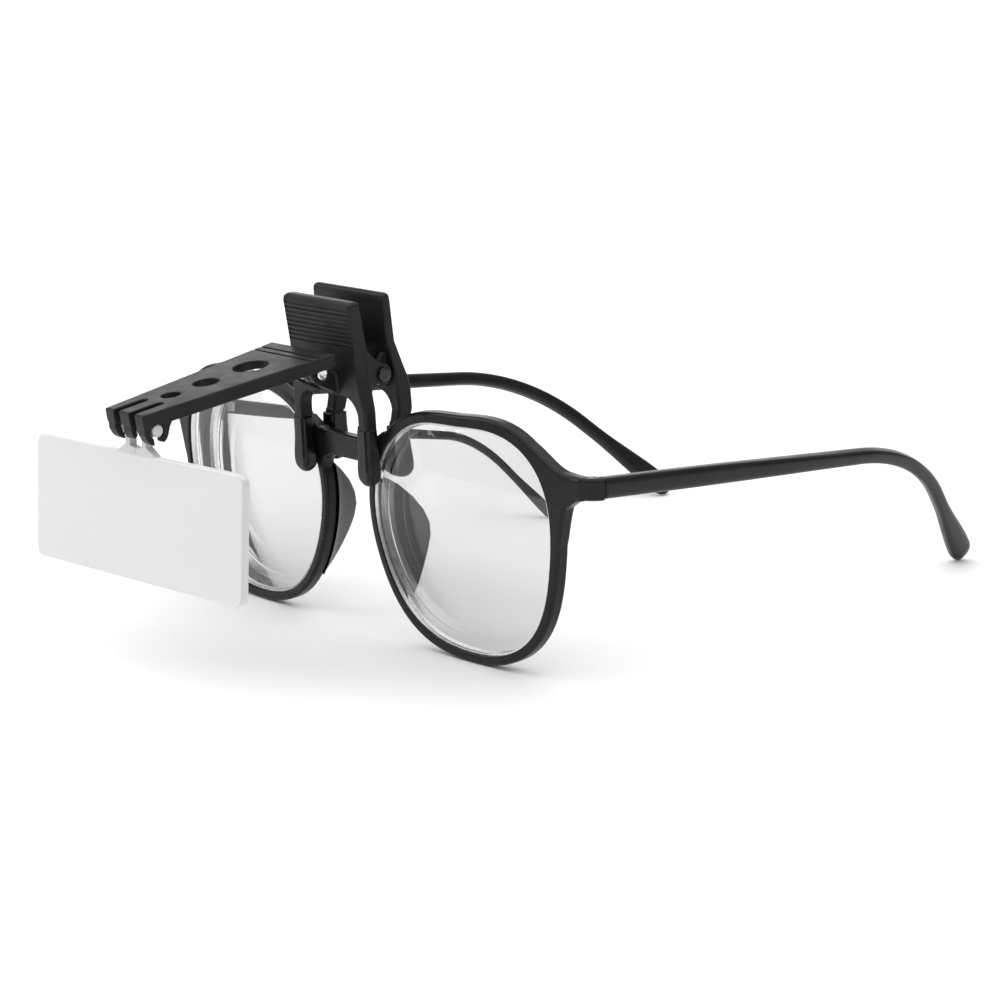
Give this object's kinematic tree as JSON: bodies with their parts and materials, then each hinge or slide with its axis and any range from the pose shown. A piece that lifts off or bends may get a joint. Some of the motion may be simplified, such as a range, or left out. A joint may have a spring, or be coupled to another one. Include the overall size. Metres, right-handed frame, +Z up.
{
  "type": "clip-on magnifier loupe on eyeglasses",
  "caption": "Black plastic eyeglasses with a spring clip on the bridge that carries a tapered flip-up arm and a clear rectangular magnifying lens.",
  "frame": {"origin": "on the floor under the middle of the bounding box; the glasses stand on the bottoms of the two rims and the two temple tips", "axes": "+X towards the wearer's left-hand lens as seen from the front (viewer's right), +Y from the lenses back along the temples, +Z up"},
  "size_m": [0.1442, 0.1935, 0.072],
  "materials": {
    "frame_plastic": "satin",
    "clip_plastic": "matte",
    "boot_rubber": "satin",
    "lens_clear": "polished",
    "magnifier_clear": "polished",
    "hinge_metal": "satin",
    "pin_black": "satin",
    "pin_steel": "polished",
    "spring_steel": "satin"
  },
  "bodies": {
    "glasses_front": {"front_frame": "frame_plastic", "nose_pad_left": "frame_plastic", "nose_pad_right": "frame_plastic", "lens_left": "lens_clear", "lens_right": "lens_clear", "hinge_front_left": "hinge_metal", "hinge_front_right": "hinge_metal", "hinge_screw_left": "hinge_metal", "hinge_screw_right": "hinge_metal"},
    "temple_left": {"temple_left": "frame_plastic", "hinge_temple_left": "hinge_metal"},
    "temple_right": {"temple_right": "frame_plastic", "hinge_temple_right": "hinge_metal"},
    "clip": {"front_jaw": "clip_plastic", "boot_front_left": "boot_rubber", "boot_front_right": "boot_rubber", "jaw_pin": "pin_black", "jaw_spring": "spring_steel", "arm_pin": "pin_steel", "arm_spring": "spring_steel"},
    "rear_jaw": {"rear_jaw": "clip_plastic", "boot_rear_left": "boot_rubber", "boot_rear_right": "boot_rubber"},
    "arm": {"arm": "clip_plastic"},
    "magnifier": {"magnifier": "magnifier_clear"}
  },
  "joints": [
    {"name": "temple_left_fold", "type": "hinge", "parent": "glasses_front", "child": "temple_left", "pos_m": [-0.0672, -0.0362, 0.04047], "axis": [0, 0.0482, -0.9988], "range_deg": [0, 80]},
    {"name": "temple_right_fold", "type": "hinge", "parent": "glasses_front", "child": "temple_right", "pos_m": [0.0672, -0.0362, 0.04047], "axis": [0, -0.0482, 0.9988], "range_deg": [0, 72]},
    {"name": "clip_lift", "type": "slide", "parent": "glasses_front", "child": "clip", "axis": [0, -0.0482, 0.9988], "range_m": [0, 0.03]},
    {"name": "rear_jaw_squeeze", "type": "hinge", "parent": "clip", "child": "rear_jaw", "pos_m": [0, -0.04152, 0.05528], "axis": [1, 0, 0], "range_deg": [0, 8], "stiffness_Nm_per_rad": 0.02, "springref_deg": -14.32},
    {"name": "arm_flip", "type": "hinge", "parent": "clip", "child": "arm", "pos_m": [0, -0.05339, 0.05631], "axis": [-1, 0, 0], "range_deg": [0, 85]},
    {"name": "magnifier_tilt", "type": "hinge", "parent": "arm", "child": "magnifier", "pos_m": [0, -0.09303, 0.04999], "axis": [-1, 0, 0], "range_deg": [-60, 90]}
  ]
}
